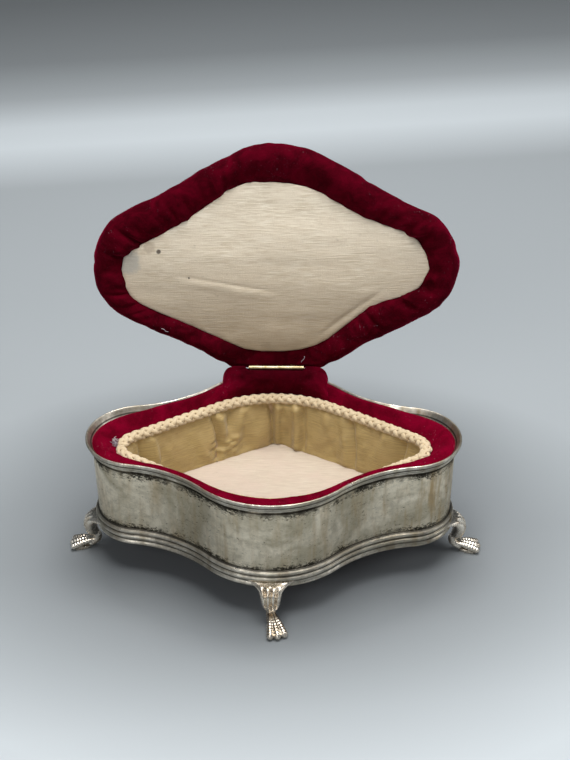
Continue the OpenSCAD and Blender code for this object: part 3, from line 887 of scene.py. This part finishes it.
def cord():
    """A six-strand round braid laid along the collar's inner edge, its ends at the left tip."""
    centre, side, at = cord_line()
    wander = at[:, None] * [1, 0, 0]
    drift = 0.22 * noise(wander, 17, 41)
    turns = 2 * math.pi * (at / 12.8 + 0.04 * noise(wander, 12, 42))
    ends = ease(at, 0, 3) * (1 - ease(at, at[-1] - 3, at[-1]))
    strands = []
    for k in range(6):
        spin = 1 if k % 2 == 0 else -1
        theta = spin * turns + (k // 2) * 2 * math.pi / 3
        reach = (1.35 + spin * 0.27 * np.cos(3 * turns)) * (0.55 + 0.45 * ends)
        off = 1.22 * reach * np.cos(theta) + drift
        up = reach * np.sin(theta)
        line = np.column_stack([centre + side * off[:, None], CORD_Z + 0.15 + up])
        radial = np.column_stack([side * np.cos(theta)[:, None], np.sin(theta)])
        rings = flat_strand(line, radial, 1.08, 0.82)
        uv = np.stack(np.broadcast_arrays(at[:, None], np.linspace(0, 6, 10)[None, :]), -1)
        strands.append(grid_piece(f"cord_strand_{k}", rings, CORD, cap=True, uv=uv))
    ride(joined(strands, "braid_cord_plait"), "base", "cord", "braid_cord")


# --- lid ---
# The lid is drawn closed: x and y from the box's centre, and a height above the hinge line.

def opened(points):
    """Turns closed-lid points to where the open lid holds them."""
    p = np.asarray(points, float)
    y, h = p[..., 1] - HINGE_Y, p[..., 2]
    c, s = math.cos(-LID_OPEN), math.sin(-LID_OPEN)
    return np.stack([p[..., 0], HINGE_Y + y * c - h * s, HINGE_Z + y * s + h * c], -1)


# The lid's hand-made swells and hollows: place round it in degrees, depth in mm, half width.
SWELLS = ((163, 2.1, 13), (-30, -1.2, 15), (-148, -1.0, 13), (30, -0.9, 11), (132, -1.1, 10),
          (45, -1.2, 10))


def lid_ring(off):
    """The lid's outline, its back cut off straight along the hinge."""
    quarter = lozenge_quarter(LID_ARCS, off)
    back = quarter.copy()
    soft = 0.8
    neck = 2.3 * (1 - ease(back[:, 0], 20.5, 24.5))
    back[:, 1] = -soft * np.logaddexp(-back[:, 1] / soft, -(LID_EDGE + neck + 0.4 * off) / soft)
    ring = whole(resample(back, RING * 2), resample(quarter, RING * 2))
    angle = np.degrees(np.arctan2(ring[:, 1], ring[:, 0]))
    swell = sum(depth * bump(angle, place, width) for place, depth, width in SWELLS)
    return ring * (1 + swell / np.linalg.norm(ring, axis=1))[:, None]


# Corners of the silk panel as it was cut by hand, closed lid, anticlockwise from the right tip.
PANEL_CUT = [(69.3, 3), (63, 12.5), (44, 18), (32, 27.5), (21, 36.5), (8, 40.4), (-12, 40.4),
             (-22, 36.2), (-40, 28), (-58, 20.5), (-68, 14.5), (-70.5, -1.5), (-64, -7.5),
             (-52, -13.5), (-36, -23), (-17, -37.6), (2, -37.9), (17, -35), (30, -27), (44, -20),
             (62, -14), (68.5, -4)]


def panel_ring(count):
    """The panel's outline, evenly split between its two tips and its front and back."""
    line = rounded(PANEL_CUT, 1, closed=True)
    start = int(np.argmax(line[:, 0]))
    line = np.roll(line, -start, axis=0)
    line = np.concatenate([line, line[:1]])
    marks = [0, int(np.argmax(line[:, 1] - 0.15 * abs(line[:, 0] + 2))), int(np.argmin(line[:, 0])),
             int(np.argmin(line[:, 1] + 0.15 * abs(line[:, 0] + 7))), len(line) - 1]
    pieces = [resample(line[a:b + 1], count)[:-1] for a, b in zip(marks, marks[1:])]
    return np.concatenate(pieces)


def cushion_edge():
    """The cushion's slightly uneven outline, which stays clear of the barrel."""
    outline = lid_ring(0)
    limit = outline[:, 1].max()
    edge = at_height(outline, 0.0)
    outline = outline * (1 + 0.007 * noise(edge, 7, 58) + 0.004 * noise(edge, 3.4, 59))[:, None]
    outline[:, 1] = np.minimum(outline[:, 1], limit)
    return outline


def pleats(panel):
    """Round the panel: how strongly the velvet is gathered, its pleats, and the finer ones."""
    angle = np.arctan2(panel[:, 1], panel[:, 0])
    tips = bump(np.abs(angle), 0, 0.5) + bump(np.abs(angle), math.pi, 0.5)
    front = bump(angle, -math.pi / 2, 0.42)
    gather = 0.7 + 1.2 * tips + 1.4 * front
    around = np.linspace(0, 1, len(panel), endpoint=False) * 2 * math.pi
    circle = at_height(np.column_stack([np.cos(around) * 60, np.sin(around) * 60]), 0.0)
    return gather, 1 - np.abs(noise(circle, 5.2, 51)) * 2.6, noise(circle, 2.2, 52)


def cushion_roll(outline, panel, gather, pleat, fine_pleat):
    """Rows of the gathered roll, from under the panel's edge out to the cushion's edge."""
    # place, share of the way from the panel to the edge, and height
    roll = curve_through([[0, -0.12, 1.7], [0.10, 0.0, 0.4], [0.22, 0.10, -1.4], [0.40, 0.30, -3.2],
                          [0.58, 0.55, -4.1], [0.74, 0.78, -3.2], [0.88, 0.94, -1.0], [1, 1.01, 2.2]],
                         np.linspace(0, 1, 24))
    over_block = (1 - ease(np.abs(outline[:, 0]), 20, 31)) * (outline[:, 1] > 0)
    pressed = CREST + 0.35 - HINGE_Z
    rows = []
    for t, h in roll:
        p = panel + (outline - panel) * t
        clear = max(h, 0.75 + 0.9 * float(ease(t, 0.78, 0.92)))
        z = h * (1 - over_block) + clear * over_block
        fade = math.exp(-((t - 0.28) / 0.36) ** 2)
        z = z + (gather * (1.15 * pleat + 0.4 * fine_pleat) - 0.4) * fade * (1 - 0.75 * over_block)
        q = at_height(p, z)
        z = z + 0.35 * noise(q, 7, 54) * (1 - over_block) + 0.14 * noise(q, 2.4, 55)
        # the roll is pressed flat where the closed lid rests on the rim
        z = pressed + 0.4 * np.logaddexp(0, (z - pressed) / 0.4)
        rows.append(at_height(p, z))
    return rows


def cushion_dome(outline, gather, pleat):
    """Rows of the dome, from the cushion's edge to its crown."""
    centre = np.array([0.0, -2.0])
    back = outline[:, 1] > LID_EDGE - 6
    # place, share of the way from the crown to the edge, and height
    dome = curve_through([[0, 1.0, 2.2], [0.10, 1.006, 4.6], [0.22, 0.992, 7.2], [0.34, 0.95, 9.6],
                          [0.46, 0.87, 11.9], [0.60, 0.73, 13.9], [0.75, 0.5, 15.5], [0.9, 0.22, 16.3],
                          [1, 0.01, 16.5]], np.linspace(0, 1, 38))
    rows = []
    for s, h in dome[1:]:
        keep = ease(s, 0.9, 1.0)
        p = centre + (outline - centre) * s
        p[:, 1] = np.where(back, p[:, 1] + (outline[:, 1] - p[:, 1]) * keep * 0.6, p[:, 1])
        q = at_height(p, h)
        z = h + 0.55 * noise(q, 16, 56) * (1 - keep) + 0.18 * noise(q, 5, 57)
        z = z + gather * 0.28 * pleat * keep * (h < 8)
        rows.append(at_height(p, z))
    return rows


def lid_velvet():
    """Padded velvet cushion: a dome outside, and inside a gathered roll round the silk panel."""
    outline, panel = cushion_edge(), panel_ring(RING * 2)
    gather, pleat, fine_pleat = pleats(panel)
    rows = cushion_roll(outline, panel, gather, pleat, fine_pleat)
    rows += cushion_dome(outline, gather, pleat)
    piece = outward(grid_piece("lid_velvet_cushion", opened(rows), BURGUNDY, cap=True))
    ride(piece, "lid", "burgundy_velvet", "lid_velvet", "lid_stuffing")


def lid_panel():
    """Ivory silk over card, its edge turned in, with the creases and sags of age."""
    ring = panel_ring(RING)
    centre = np.array([-1.0, 1.3])
    profile = [(0.985, 1.7), (0.995, 1.2), (1.0, 0.7), (0.998, 0.25), (0.99, 0.02)]
    profile += [(s, 0.0) for s in np.linspace(0.975, 0.015, 66)]
    rows, flat = [], []
    for scale, h in profile:
        p = centre + (ring - centre) * scale
        q = at_height(p, 0.0)
        x, y = p[:, 0], p[:, 1]
        inside = ease(1 - scale, 0.0, 0.12)
        z = np.full(len(p), h)
        z -= 0.9 * (1 - scale ** 2.5)
        z -= inside * (0.45 * noise(q * [1, 1.4, 1], 17, 61) + 0.16 * noise(q * [0.5, 1.6, 1], 7, 62))
        # on the open lid: a long diagonal crease, a sag at the lower right, ripples at the bottom
        crease = (y - 9 - 0.16 * (x + 20)) * 0.98
        for depth, away, width in ((0.36, 0, 0.8), (-0.25, 2.6, 1.8)):
            ridge = inside * depth * bump(crease, away, width)
            z += ridge * ease(x, -48, -36) * (1 - ease(x, -8, 2))
        fold = y - 22 + 0.75 * (x - 34)
        z += inside * 0.8 * bump(fold, 0, 1.6) * bump(x, 33, 12)
        z -= inside * 0.7 * bump(fold, 3.6, 2.2) * bump(x, 31, 12)
        z += inside * 0.25 * np.sin(x * 0.55 + 1.3 * noise(q, 9, 63)) * ease(y, 20, 34)
        rows.append(at_height(p, z))
        flat.append(p)
    piece = outward(grid_piece("lid_panel_silk", opened(rows), IVORY, cap=True, uv=np.array(flat)))
    ride(piece, "lid", "ivory_silk", "lid_lining_silk")
    turned_in = 3
    width, height = np.ptp(ring, axis=0) + 2 * turned_in
    x, y = ring.T


def threads():
    """Loose threads: the cord's frayed ends at the left tip, and two on the lid's velvet."""
    draw = np.random.default_rng(7)
    t = np.linspace(0, 1, 9)
    left_tip = -CORD_ARCS[0] - 1.5
    fray = []
    for _ in range(22):
        start = np.array([left_tip - draw.uniform(0, 1), draw.uniform(-2.2, 3.2), CORD_Z + 1.5])
        lean = np.array([-draw.uniform(0.6, 2.4), draw.uniform(-1.6, 1.6), draw.uniform(0.4, 2.2)])
        curl = draw.uniform(-1.2, 1.2, 3)
        path = start + lean * t[:, None] + curl * np.sin(math.pi * t)[:, None]
        fray.append(grid_piece("fray", tube(path, 0.16 - 0.08 * t, 6), FIBRE, cap=True))
    ride(joined(fray, "cord_end_fray"), "base", "cord")
    for name, x, y, h, dx, dy in (("lid_thread_right", 12.8, 42.6, 0.9, -1.2, 3.6),
                                  ("lid_thread_left", -52, 28.6, -4.4, 3.2, 1.6)):
        path = np.stack([x + dx * t + 0.4 * np.sin(6 * t), y + dy * t,
                         h - 0.35 * np.sin(math.pi * t)], 1)
        piece = grid_piece(name, opened(tube(path, np.full(9, 0.14), 6)), FIBRE, cap=True)
        ride(piece, "lid", "ivory_silk")


def finish_cad():
    """Gives the CAD nodes that stay their own finishes."""
    looks = ((UNDER, "base_cloth"), (WOOD, "base_board carcass hinge_block lid_board"),
             (CARD, "floor_card lid_lining_card"),
             (BRASS, "hinge_leaf_base hinge_leaf_lid hinge_pin hinge_screws_base hinge_screws_lid"))
    for material, nodes in looks:
        for node in nodes.split():
            for slot in frame["nodes"][node].material_slots:
                slot.material = material


# --- stage ---

def pale_paper():
    """Grey-white paper, with painted shade far behind and a painted shadow close round the box."""
    s = Shader("paper_sweep")
    here = s.coords()
    along = s.maths("SUBTRACT", s.axis(here, "Y"), s.times(s.axis(here, "X"), 0.16))
    far = s.band(along, -0.2, 0.8)
    # painted light and shade: darkest far behind, with a painted pale band where the paper turns up,
    # and paler again in front
    painted_light_tones = ((0.0, 1.22), (0.09, 1.15), (0.14, 1.0), (0.2, 0.86), (0.45, 0.82), (0.6, 0.84),
             (0.665, 1.42), (0.70, 1.36), (0.75, 0.86), (0.82, 0.54), (0.95, 0.40))
    paper = s.ramp(far, *((place, (0.475 * tone, 0.51 * tone, 0.53 * tone)) for place, tone in painted_light_tones))
    # a painted shadow round the box, darkest close to it
    around = s.node("VectorMath", {0: s.coords((1, 1.25, 0))}, operation="LENGTH").outputs["Value"]
    paper = s.mix(s.times(s.band(around, 0.19, 0.08), 0.56), paper, (0.03, 0.033, 0.037))
    s.set(Base_Color=paper, Roughness=0.55, Specular_IOR_Level=0.25)
    return s.finished((s.noise(here, 0.0012, 3, 0.6), 0.00002))


def stage():
    """Paper that lies level under the box and turns up behind it."""
    y = [-1500, 900, 1150, 1350, 1480, 1540, 1560, 1565]
    z = [0, 0, 12, 70, 180, 380, 800, 2200]
    line = rounded(np.column_stack([y, z]), 2)
    rows = [[(x, a, SOLE + b) for x in (-1800, 1800)] for a, b in line]
    floor = grid_piece("paper_floor", rows, pale_paper(), round_u=False)


def lamp(name, place, aim, size, power, colour=(1, 1, 1)):
    """A soft rectangular light at a place, turned to its aim."""
    data = bpy.data.lights.new(name, "AREA")
    data.shape = "RECTANGLE"
    data.size, data.size_y = size
    data.energy = power
    data.color = colour
    o = in_scene(name, data)
    o.location = place
    o.rotation_euler = (Vector(aim) - Vector(place)).to_track_quat("-Z", "Y").to_euler()


def lights():
    """One large light overhead, two weak ones, and a dim bluish room."""
    lamp("overhead", (0.04, 0.02, 0.95), (0, 0.02, 0), (0.75, 0.55), 11.0)
    lamp("front_fill", (-0.45, -1.2, 0.9), (0, 0, 0.02), (0.9, 0.5), 4.6, (1, 0.99, 0.97))
    lamp("side_fill", (1.1, -0.1, 0.7), (0, 0, 0.02), (0.6, 0.8), 2.4)

    world = bpy.data.worlds.new("studio")
    world.use_nodes = True
    room = world.node_tree.nodes["Background"].inputs
    room["Color"].default_value = (0.62, 0.68, 0.74, 1)
    room["Strength"].default_value = 0.2
    bpy.context.scene.world = world


def camera():
    """An 80 mm lens in front of the open box and above it, looking down 32 degrees."""
    data = bpy.data.cameras.new("camera")
    data.lens = 80.05
    data.sensor_width = 36
    right = Vector((0.99968, 0.02425, -0.00726))
    up = Vector((-0.00672, 0.53054, 0.84764))
    back = right.cross(up)
    turn = Matrix((right, up, back)).transposed().to_4x4()
    place = (0.02292, -0.61118, 0.41111 + CREST * MM)
    o = in_scene("camera", data)
    o.matrix_world = Matrix.Translation(place) @ turn
    bpy.context.scene.camera = o


camera()
wall_sheet()
top_rim()
base_moulding()
feet()
collar()
hinge_mound()
lining()
floor_pad()
cord()
lid_velvet()
lid_panel()
threads()
finish_cad()
stage()
lights()

bpy.context.scene.view_settings.view_transform = "Standard"
